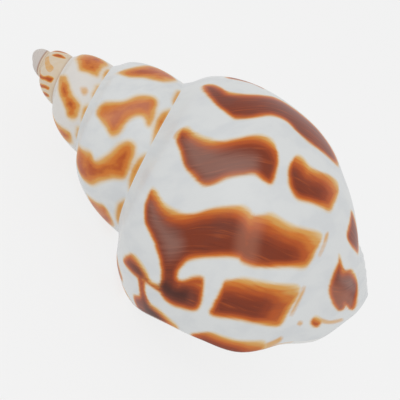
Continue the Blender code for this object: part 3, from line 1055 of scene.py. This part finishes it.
@dataclass
class Pattern:
    """Signed distances to the blotches, in whorl heights at the lip, more than zero inside one.

    Attributes:
        across_degree: Length of one degree of growth, in whorl heights.
        margin: Distance beyond which a blotch isn't felt.
        rounds: Steps in each part of a smoothed outline.
        exact: Decimals to which two places are read as one.
    """

    across_degree: float = 0.018
    margin: float = 0.3
    rounds: int = 5
    exact: int = 5

    def smooth(self, outline: tuple) -> np.ndarray:
        """A closed curve through an outline's points, in whorl heights."""
        corners = np.array(outline).reshape(-1, 2) * (-self.across_degree, HUNDREDTH)
        before, after = np.roll(corners, 1, axis=0), np.roll(corners, -1, axis=0)
        beyond = np.roll(corners, -2, axis=0)
        steps = []
        for t in np.arange(self.rounds) / self.rounds:
            bend = (after - before) * t
            bend += (2 * before - 5 * corners + 4 * after - beyond) * t * t
            bend += (3 * corners - before - 3 * after + beyond) * t**3
            steps.append(corners + 0.5 * bend)
        return np.stack(steps, 1).reshape(-1, 2)

    def distance(self, places: np.ndarray, ring: np.ndarray) -> np.ndarray:
        """Signed distance of places to one closed ring, more than zero inside."""
        ends = np.roll(ring, -1, axis=0)
        nearest = np.full(len(places), np.inf)
        inside = np.zeros(len(places), bool)
        for a, b in zip(ring, ends):
            run = b - a
            share = np.clip((places - a) @ run / (run @ run), 0, 1)
            nearest = np.minimum(nearest, np.hypot(*(places - a - share[:, None] * run).T))
            crosses = (a[1] > places[:, 1]) != (b[1] > places[:, 1])
            if a[1] != b[1]:
                at = a[0] + (places[:, 1] - a[1]) * (run[0] / run[1])
                inside ^= crosses & (places[:, 0] < at)
        return np.where(inside, nearest, -nearest)

    def nearest(self, places: np.ndarray, blotches: list) -> tuple:
        """Finds the blotch that each place is in, or nearest to.

        Args:
            places: Places in whorl heights, growth first.
            blotches: The blotches.

        Returns:
            The signed distance to that blotch, and how far its early side has deepened there.
        """
        found = np.full(len(places), -self.margin)
        deepened = np.zeros(len(places))
        for blotch in blotches:
            ring = self.smooth(blotch.outline)
            low, high = ring.min(axis=0) - self.margin, ring.max(axis=0) + self.margin
            near = np.flatnonzero(((places > low) & (places < high)).all(axis=1))
            if len(near):
                distance = self.distance(places[near], ring)
                nearer = distance > found[near]
                near = near[nearer]
                found[near] = distance[nearer]
                earlier = self.distance(places[near] - [blotch.fade, 0.0], ring)
                deepened[near] = 1 + earlier / blotch.fade
        return found, deepened

    def layers(self, angle: np.ndarray, height: np.ndarray, blotches: list) -> dict:
        """Reads the pattern.

        Args:
            angle: Growth angles in radians.
            height: Heights below the suture.
            blotches: The blotches.

        Returns:
            The signed distance to the nearest blotch of each pigment, and as "deepened" the share of its
            full depth that a brown blotch has reached from its early side.
        """
        places = np.column_stack([np.degrees(angle) * self.across_degree, height])
        places, back = np.unique(np.round(places, self.exact), axis=0, return_inverse=True)
        found = {}
        for pigment in Pigment:
            marks = [blotch for blotch in blotches if blotch.pigment is pigment]
            distance, deepened = self.nearest(places, marks)
            found[pigment.value] = distance[back.ravel()]
            if pigment is Pigment.BROWN:
                found["deepened"] = deepened[back.ravel()]
        return found


Value = Union["Socket", float]
Paintable = Union["Socket", Colour]


def operator(operation: str, reflected: bool = False) -> Callable:
    """Makes a method of Socket that adds one Math node.

    Args:
        operation: The node's operation.
        reflected: Whether the other value comes first.

    Returns:
        The method.
    """

    def method(self: "Socket", other: Value) -> "Socket":
        """Adds the node for this and the other."""
        return self.math(operation, *((other, self) if reflected else (self, other)))

    return method


class Socket:
    """A node's output that can be written into sums. Each operator adds one Math node."""

    __add__ = operator("ADD")
    __radd__ = operator("ADD", reflected=True)
    __sub__ = operator("SUBTRACT")
    __rsub__ = operator("SUBTRACT", reflected=True)
    __mul__ = operator("MULTIPLY")
    __rmul__ = operator("MULTIPLY", reflected=True)
    __truediv__ = operator("DIVIDE")
    __rtruediv__ = operator("DIVIDE", reflected=True)
    least = operator("MINIMUM")
    most = operator("MAXIMUM")

    def __init__(self, nodes: "Nodes", link: bpy.types.NodeSocket) -> None:
        """Keeps the output and the tree that it is in."""
        self.nodes = nodes
        self.link = link

    def math(self, operation: str, *values: Value) -> "Socket":
        """Adds a Math node that works on the values."""
        return self.nodes.add("ShaderNodeMath", {"operation": operation}, dict(enumerate(values)))[0]

    def within(self) -> "Socket":
        """This, held between 0 and 1."""
        return self.most(0.0).least(1.0)

    def size(self) -> "Socket":
        """This without its sign."""
        return self.math("ABSOLUTE", self)

    def ease(self, low: float, high: float) -> "Socket":
        """Smooth step from 0 at low to 1 at high, or from 1 to 0 if low is above high."""
        ends = (low, high, 0.0, 1.0) if low < high else (high, low, 1.0, 0.0)
        values = dict(zip(("From Min", "From Max", "To Min", "To Max"), ends))
        settings = {"interpolation_type": "SMOOTHSTEP"}
        return self.nodes.add("ShaderNodeMapRange", settings, {"Value": self, **values})["Result"]


class Outputs:
    """The outputs of one node, by name or by number."""

    def __init__(self, nodes: "Nodes", node: bpy.types.Node) -> None:
        """Keeps the node."""
        self.nodes = nodes
        self.node = node

    def __getitem__(self, key: Union[str, int]) -> Socket:
        """One output."""
        return Socket(self.nodes, self.node.outputs[key])


@dataclass
class Nodes:
    """The node tree of one material.

    Attributes:
        tree: The tree.
        detail: Finer layers in each noise.
    """

    tree: bpy.types.NodeTree
    detail: float = 3.0

    def add(self, kind: str, settings: Optional[dict] = None, values: Optional[dict] = None) -> Outputs:
        """Adds a node.

        Args:
            kind: The node's type.
            settings: Its own settings, set first. "stops" gives a ramp's stops as (place, colour) pairs.
            values: Values or links for its inputs, by name or number.

        Returns:
            The node's outputs.
        """
        node = self.tree.nodes.new(kind)
        for name, setting in (settings or {}).items():
            if name == "stops":
                self.set_stops(node.color_ramp, setting)
            else:
                setattr(node, name, setting)
        for name, value in (values or {}).items():
            if isinstance(value, Socket):
                self.tree.links.new(value.link, node.inputs[name])
            else:
                node.inputs[name].default_value = value
        return Outputs(self, node)

    def layer(self, name: str) -> Socket:
        """Reads one of the mesh's layers."""
        return self.add("ShaderNodeAttribute", {"attribute_name": name})["Fac"]

    def set_stops(self, ramp: bpy.types.ColorRamp, stops: tuple) -> None:
        """Gives a ramp its stops."""
        ramp.interpolation = "EASE"
        while len(ramp.elements) < len(stops):
            ramp.elements.new(0.5)
        for element, (place, colour) in zip(ramp.elements, stops):
            element.position = place
            element.color = (*colour, 1.0)

    def ramp(self, share: Socket, stops: tuple) -> Socket:
        """Colours along a ramp."""
        return self.add("ShaderNodeValToRGB", {"stops": stops}, {"Fac": share})["Color"]

    def mix(self, share: Value, first: Paintable, second: Paintable) -> Socket:
        """Mixes two colours. The second shows where the share is 1."""
        ends = [colour if isinstance(colour, Socket) else (*colour, 1.0) for colour in (first, second)]
        # A Mix node's inputs 6 and 7 and its output 2 are the ones for colours.
        return self.add("ShaderNodeMix", {"data_type": "RGBA"}, {0: share, 6: ends[0], 7: ends[1]})[2]

    def vector(self, x: Value, y: Value) -> Socket:
        """A flat vector from two numbers."""
        return self.add("ShaderNodeCombineXYZ", None, {0: x, 1: y})[0]

    def noise(self, place: Socket, scale: float, rough: float) -> Socket:
        """Cloudy noise about 0.5."""
        values = {"Vector": place, "Scale": scale, "Detail": self.detail, "Roughness": rough}
        return self.add("ShaderNodeTexNoise", {"noise_dimensions": "3D"}, values)[0]


class Age(Enum):
    """Ages in turns, 0 at the lip and less before it, between which a change of colour comes in."""

    SPIRE = (-0.86, -1.06)
    WARM = (-1.3, -2.5)
    YOUNG = (-1.85, -2.1)
    # Painted shade above the sutures comes in on these older whorls.
    SEAM = (-2.3, -2.9)
    TIP = (-2.9, -3.02)
    TAN = (-2.9, -3.1)
    FIRST_WHORL = (-3.85, -3.97)


class Skin:
    """What the material reads at each place on the shell.

    Attributes:
        line: Growth from the line of the lip, in radians.
        height: Height below the suture.
        marks: The mesh's layers, by name.
        striae, broad, cloud: Fine growth lines, wider ones and soft clouds, each about zero.
        spire, tip: Shares of being on the spire and at the tip.
    """

    layers = (*(pigment.value for pigment in Pigment), "deepened", "inside", "age")

    def __init__(self, nodes: Nodes) -> None:
        """Adds the nodes that read the mesh."""
        self.nodes = nodes
        growth = nodes.add("ShaderNodeUVMap", {"uv_map": "growth"})["UV"]
        both = nodes.add("ShaderNodeSeparateXYZ", None, {0: growth})
        self.line, self.height = both[0], both[1]
        self.marks = {name: nodes.layer(name) for name in self.layers}
        self.striae = self.grain(stretch=0.06, scale=46.0, rough=0.6)
        self.broad = self.grain(stretch=0.15, scale=9.0, rough=0.55)
        self.cloud = self.grain(stretch=0.8, scale=5.0, rough=0.5)
        self.spire = self.share(Age.SPIRE)
        self.tip = self.share(Age.TIP)

    def grain(self, stretch: float, scale: float, rough: float) -> Socket:
        """Noise about zero that changes more slowly along a growth line than across it, by the stretch."""
        return self.nodes.noise(self.nodes.vector(self.line, self.height * stretch), scale, rough) - 0.5

    def share(self, age: Age) -> Socket:
        """Share to which a change of colour has come in."""
        return self.marks["age"].ease(*age.value)


@dataclass(frozen=True)
class Ground:
    """The ground colour: cool white, warmer towards the tip, and grey with a violet line at the tip; painted
    shade darkens it towards violet-grey in the crease just above each suture of the upper spire.

    A share says how much of its colour there is. A pair says between which values it comes in.
    """

    white: Colour = srgb(211, 213, 213)
    cool_white: Colour = srgb(198, 201, 204)
    warm_white: Colour = srgb(214, 207, 199)
    tip_tan: Colour = srgb(206, 184, 152)
    tip_grey: Colour = srgb(196, 188, 182)
    # Violet of the line at the tip, also used for the painted shade above the sutures.
    violet_and_suture_shade: Colour = srgb(156, 118, 100)
    clouds: tuple = (-0.08, 0.16)
    cool_share: float = 0.5
    warm_share: float = 0.7
    tan_share: float = 0.70
    tan_cloud: float = 0.5
    grey_heights: tuple = (0.84, 0.70)
    line_height: float = 0.78
    line_reach: tuple = (0.10, 0.02)
    # Painted shade above the sutures: heights between which it comes in, and its share.
    suture_shade_heights: tuple = (0.90, 0.99)
    suture_shade_share: float = 0.4
    violet_and_shade_share: float = 0.75

    def colour(self, skin: Skin) -> Socket:
        """The colour where no blotch is."""
        mix = skin.nodes.mix
        ground = mix(skin.cloud.ease(*self.clouds) * self.cool_share, self.white, self.cool_white)
        ground = mix(skin.share(Age.WARM) * self.warm_share, ground, self.warm_white)
        tan = skin.share(Age.TAN) * (self.tan_share + skin.cloud * self.tan_cloud)
        ground = mix(tan, ground, self.tip_tan)
        first_whorl = skin.share(Age.FIRST_WHORL)
        ground = mix(first_whorl * skin.height.ease(*self.grey_heights), ground, self.tip_grey)
        line = (skin.height - self.line_height).size().ease(*self.line_reach) * first_whorl
        # Painted shade: just above each suture of the upper spire the colour darkens towards violet-grey.
        suture_shade = skin.height.ease(*self.suture_shade_heights) * skin.share(Age.SEAM)
        return mix(line.most(suture_shade * self.suture_shade_share) * self.violet_and_shade_share, ground, self.violet_and_suture_shade)


@dataclass(frozen=True)
class Veil:
    """A thin layer of colour over a blotch.

    Attributes:
        colour: Its colour.
        ends: Values between which it comes in.
        share: How much it covers.
        on_spire: How much more it covers on the spire.
        grain: How far the fine lines shift the value.
    """

    colour: Colour
    ends: tuple
    share: float
    on_spire: float = 0.0
    grain: float = 0.0

    def over(self, skin: Skin, below: Socket, value: Socket, strength: Value = 1.0) -> Socket:
        """Lays it over a colour.

        Args:
            skin: What the material reads.
            below: The colour below.
            value: The value that brings it in.
            strength: A further factor of its share.

        Returns:
            The colour with the veil.
        """
        shown = (value + skin.striae * self.grain).ease(*self.ends) * strength
        return skin.nodes.mix(shown * (self.share + skin.spire * self.on_spire), below, self.colour)


@dataclass(frozen=True)
class Paint:
    """The blotches' colour: brown with a thin orange edge that is wide on the early side.

    Distances are in whorl heights at the lip, more than zero inside a blotch. Ends are the values between
    which something comes in. Veils lie on the brown in the order of their fields.
    """

    stops: tuple = (
        (0.0, srgb(214, 186, 138)),
        (0.16, srgb(208, 152, 78)),
        (0.32, srgb(200, 114, 38)),
        (0.54, srgb(174, 78, 22)),
        (0.78, srgb(138, 54, 16)),
        (1.0, srgb(120, 46, 16)),
    )
    purple: Veil = Veil(srgb(108, 52, 36), (-0.02, 0.22), 0.6, on_spire=-0.5)
    bright_lines: Veil = Veil(srgb(174, 78, 22), (0.02, 0.22), 0.5, on_spire=-0.3)
    dark_lines: Veil = Veil(srgb(58, 18, 8), (-0.04, -0.26), 0.38, on_spire=-0.228)
    # Grey-purple over the greyish middles: partly their own tone, partly a painted sheen, the light's soft
    # reflection.
    milky: Veil = Veil(srgb(146, 118, 108), (-0.05, 0.08), 0.5, grain=0.08)
    pale: Veil = Veil(srgb(206, 150, 124), (-0.05, 0.06), 0.22, on_spire=0.14)
    dark: Veil = Veil(srgb(58, 18, 8), (-0.02, 0.06), 0.85, grain=0.05)
    faint_orange: Colour = srgb(208, 158, 92)
    # How much wider edges are on the spire, and at the tip.
    softness: tuple = (0.5, -1.15)
    # How far the striae, broad lines and clouds shift an edge, and how much less on the spire.
    ragged: tuple = (0.012, 0.022, 0.020)
    spire_calm: float = 0.55
    # How far blotches stand out beyond their outlines, the spire left out.
    swell: float = 0.006
    edge_ends: tuple = (-0.022, 0.016)
    # How far outside its edge a blotch starts to deepen, and over which distance.
    rise_start: float = 0.008
    rise_length: float = 0.064
    # How much the striae change the depth, and how much less on the spire.
    line_depth: tuple = (0.3, 0.2)
    # The pale groove's upper and lower ends, and the share of depth lost in it.
    groove_ends: tuple = ((1.38, 1.58), (1.70, 1.62))
    groove_loss: float = 0.5
    # Depth lost on the spire, and how much the clouds change that.
    spire_loss: tuple = (0.50, 0.7)
    young_loss: float = 0.08
    tip_gain: float = 0.15
    # How far the striae shift a faint trace, how much it covers, and how much the clouds change that.
    trace_ends: tuple = (-0.014, 0.012)
    trace_grain: float = 0.01
    trace_share: tuple = (0.8, 0.9)

    def over(self, skin: Skin, ground: Socket) -> tuple:
        """Paints the traces and blotches.

        Args:
            skin: What the material reads.
            ground: The colour below.

        Returns:
            The colour, and the share that a blotch covers.
        """
        marks, striae, cloud, spire = skin.marks, skin.striae, skin.cloud, skin.spire
        softness = 1 + spire * self.softness[0] + skin.tip * self.softness[1]
        ragged = striae * self.ragged[0] + skin.broad * self.ragged[1] + cloud * self.ragged[2]
        edge = marks["brown"] / softness + ragged * (1 - spire * self.spire_calm) + self.swell * (1 - spire)
        cover = edge.ease(*self.edge_ends)
        trace = (marks["faint"] / softness + striae * self.trace_grain).ease(*self.trace_ends)
        trace = (trace * (self.trace_share[0] + cloud * self.trace_share[1])).within()
        ground = skin.nodes.mix(trace, ground, self.faint_orange)
        paint = self.brown(skin, self.depth(skin, edge))
        return skin.nodes.mix(cover, ground, paint), cover

    def depth(self, skin: Skin, edge: Socket) -> Socket:
        """How deep a blotch's colour is at its distance from the edge, 0 to 1."""
        lines = skin.striae * (self.line_depth[0] - skin.spire * self.line_depth[1])
        risen = ((edge + self.rise_start) / self.rise_length).least(skin.marks["deepened"] + lines).within()
        upper, lower = self.groove_ends
        groove = skin.height.ease(*upper) * skin.height.ease(*lower)
        lost = skin.spire * (self.spire_loss[0] - skin.cloud * self.spire_loss[1])
        lost = lost + skin.share(Age.YOUNG) * self.young_loss
        return risen * (1 - lost + skin.tip * self.tip_gain) * (1 - groove * self.groove_loss)

    def brown(self, skin: Skin, depth: Socket) -> Socket:
        """The brown at each depth, with its clouds, growth lines and middles."""
        paint = skin.nodes.ramp(depth, self.stops)
        paint = self.purple.over(skin, paint, skin.cloud, depth)
        paint = self.bright_lines.over(skin, paint, skin.striae, depth)
        paint = self.dark_lines.over(skin, paint, skin.striae, depth)
        # The first of these veils paints the greyish middles with their sheen, a painted reflection of the
        # light.
        for veil, mark in ((self.milky, "milky"), (self.pale, "pale"), (self.dark, "dark")):
            paint = veil.over(skin, paint, skin.marks[mark])
        return paint


@dataclass(frozen=True)
class Porcelain:
    """The shell's finish: a glazed surface, painted outside and white in the mouth."""

    ground: Ground = Ground()
    paint: Paint = Paint()
    mouth_white: Colour = srgb(232, 229, 222)
    through_orange: Colour = srgb(200, 114, 38)
    # Shares of being inside: where the mouth's white comes in, and where blotches show through the wall.
    inside_ends: tuple = (0.2, 0.6)
    through_ends: tuple = (1.3, 1.05)
    through_share: float = 0.16
    # Each of these, and how much the clouds change it.
    roughness: tuple = (0.38, 0.12)
    glaze: tuple = (0.3, 0.2)
    glaze_roughness: float = 0.30
    shine: float = 0.14
    # The growth lines: strength, height in metres, and the parts of the striae and the broad lines.
    relief: tuple = (0.12, 0.00025)
    relief_parts: tuple = (0.3, 0.6)

    def make(self, name: str) -> bpy.types.Material:
        """Makes the material."""
        material = bpy.data.materials.new(name)
        material.use_nodes = True
        material.node_tree.nodes.clear()
        nodes = Nodes(material.node_tree)
        skin = Skin(nodes)
        outer, cover = self.paint.over(skin, self.ground.colour(skin))
        inside = skin.marks["inside"]
        through = cover * inside.ease(*self.through_ends) * self.through_share
        mouth = nodes.mix(through, self.mouth_white, self.through_orange)
        waves = skin.striae * self.relief_parts[0] + skin.broad * self.relief_parts[1]
        relief = {"Strength": self.relief[0], "Distance": self.relief[1], "Height": waves}
        values = {
            "Base Color": nodes.mix(inside.ease(*self.inside_ends), outer, mouth),
            "Roughness": self.roughness[0] + skin.cloud * self.roughness[1],
            "Specular IOR Level": self.shine,
            "Coat Weight": self.glaze[0] + skin.cloud * self.glaze[1],
            "Coat Roughness": self.glaze_roughness,
            "Normal": nodes.add("ShaderNodeBump", None, relief)["Normal"],
        }
        shader = nodes.add("ShaderNodeBsdfPrincipled", None, values)["BSDF"]
        nodes.add("ShaderNodeOutputMaterial", None, {"Surface": shader})
        return material


@dataclass
class BabylonShell:
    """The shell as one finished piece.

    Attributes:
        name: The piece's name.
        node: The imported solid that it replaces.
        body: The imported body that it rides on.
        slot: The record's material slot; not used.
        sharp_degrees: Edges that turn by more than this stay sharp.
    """

    name: str = "babylon_shell"
    node: str = "shell"
    body: str = "root"
    slot: str = "shell"
    sharp_degrees: float = 50.0
    shape: ShellBody = field(default_factory=ShellBody)
    pattern: Pattern = field(default_factory=Pattern)
    unseen: Unseen = field(default_factory=Unseen)
    finish: Porcelain = field(default_factory=Porcelain)

    def build(self) -> bpy.types.Object:
        """Builds, smooths and dresses the shell."""
        mesh, facts = self.shape.build(self.name)
        self.inform(mesh, facts)
        shell = bpy.data.objects.new(self.name, mesh)
        bpy.context.scene.collection.objects.link(shell)
        bpy.ops.object.select_all(action="DESELECT")
        shell.select_set(True)
        bpy.context.view_layer.objects.active = shell
        bpy.ops.object.mode_set(mode="EDIT")
        bpy.ops.mesh.select_all(action="SELECT")
        bpy.ops.mesh.normals_make_consistent(inside=False)
        bpy.ops.object.mode_set(mode="OBJECT")
        bpy.ops.object.shade_smooth_by_angle(angle=math.radians(self.sharp_degrees))
        mesh.materials.append(self.finish.make("porcelain"))
        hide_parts(self.node)
        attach(shell, self.body)
        return shell

    def inform(self, mesh: bpy.types.Mesh, facts: np.ndarray) -> None:
        """Stores what each corner knows, for the material to read."""
        angle, height, inside = facts.T
        line = angle - self.shape.outline.lip(height)
        blotches = [*SEEN_BLOTCHES, *self.unseen.blotches()]
        layers = self.pattern.layers(angle, height, blotches)
        size = self.shape.at(angle)[1] / self.shape.at(0.0)[1]
        for pigment in Pigment:
            layers[pigment.value] = layers[pigment.value] * size
        growth = mesh.uv_layers.new(name="growth")
        growth.data.foreach_set("uv", np.column_stack([line, height]).astype(np.float32).ravel())
        layers.update({"inside": inside, "age": angle / TURN})
        for name, values in layers.items():
            layer = mesh.attributes.new(name, "FLOAT", "CORNER")
            layer.data.foreach_set("value", values.astype(np.float32))


@dataclass
class Studio:
    """Pale floor, soft light and the camera.

    Attributes:
        place: Where the camera stands, in metres.
        right: The direction of the picture's right side.
        up: The direction of the picture's upper side.
        picture: The picture's side, in pixels.
        focal: The lens's focal length, in the same pixels.
        sensor: Width of the camera's sensor, in millimetres.
        nearest: Where the camera starts to see, in metres.
        floor_size: Side of the floor, in metres.
        floor_grey: The floor's colour.
        floor_glow: The even light that comes through the floor, as on a light table.
        daylight: Strength of the even light from all around.
        lamp_place, lamp_size, lamp_power: The soft box, in metres and watts.
        aim: The point that it looks at.
    """

    place: tuple = (0.003575, -0.085139, 0.06321)
    right: tuple = (0.65696, 0.38114, 0.65049)
    up: tuple = (-0.75393, 0.33200, 0.56689)
    picture: float = 400.0
    focal: float = 677.0
    sensor: float = 36.0
    nearest: float = 0.005
    floor_size: float = 1.2
    floor_grey: Colour = (0.11, 0.11, 0.11)
    floor_roughness: float = 0.9
    floor_glow: Colour = (0.785, 0.785, 0.785)
    daylight: float = 0.887
    lamp_place: tuple = (-0.10, -0.25, 0.31)
    lamp_size: float = 0.20
    lamp_power: float = 0.22
    aim: tuple = (0.0, 0.0, 0.015)

    def camera(self) -> None:
        """Stands the camera where the photograph was taken from."""
        data = bpy.data.cameras.new("camera")
        data.sensor_width = self.sensor
        data.lens = self.focal / self.picture * self.sensor
        data.clip_start = self.nearest
        camera = bpy.data.objects.new("camera", data)
        bpy.context.scene.collection.objects.link(camera)
        right, up = Vector(self.right), Vector(self.up)
        turned = Matrix((right, up, right.cross(up))).transposed().to_4x4()
        camera.matrix_world = Matrix.Translation(self.place) @ turned
        bpy.context.scene.camera = camera

    def floor(self) -> None:
        """Lays a pale floor under the shell."""
        bpy.ops.object.select_all(action="DESELECT")
        bpy.ops.mesh.primitive_plane_add(size=self.floor_size, location=(0, 0, 0))
        floor = bpy.context.object
        floor.name = "floor"
        material = bpy.data.materials.new("pale_floor")
        material.use_nodes = True
        values = {
            "Base Color": (*self.floor_grey, 1.0),
            "Roughness": self.floor_roughness,
            "Specular IOR Level": 0.0,
            "Emission Color": (*self.floor_glow, 1.0),
            "Emission Strength": 1.0,
        }
        for name, value in values.items():
            material.node_tree.nodes["Principled BSDF"].inputs[name].default_value = value
        floor.data.materials.append(material)

    def lamp(self) -> None:
        """Hangs a square soft lamp that looks at the shell."""
        data = bpy.data.lights.new("soft box", "AREA")
        data.size = self.lamp_size
        data.energy = self.lamp_power
        lamp = bpy.data.objects.new("soft box", data)
        lamp.location = self.lamp_place
        lamp.rotation_euler = (Vector(self.aim) - lamp.location).to_track_quat("-Z", "Y").to_euler()
        bpy.context.scene.collection.objects.link(lamp)

    def build(self) -> None:
        """Sets the whole studio up."""
        self.camera()
        self.floor()
        self.lamp()
        world = bpy.data.worlds.new("studio")
        world.use_nodes = True
        around = world.node_tree.nodes["Background"]
        around.inputs["Color"].default_value = (1, 1, 1, 1)
        around.inputs["Strength"].default_value = self.daylight
        bpy.context.scene.world = world
        bpy.context.scene.view_settings.view_transform = "Standard"


def main() -> None:
    """Builds the shell and the studio, in that order."""
    logging.basicConfig(level=logging.INFO, format="%(name)s: %(message)s")
    shell = BabylonShell()
    piece = shell.build()
    log.info("%s: %d faces", piece.name, len(piece.data.polygons))
    Studio().build()
    log.info("studio: floor, lamp, daylight and camera")


if __name__ == "__main__":
    main()
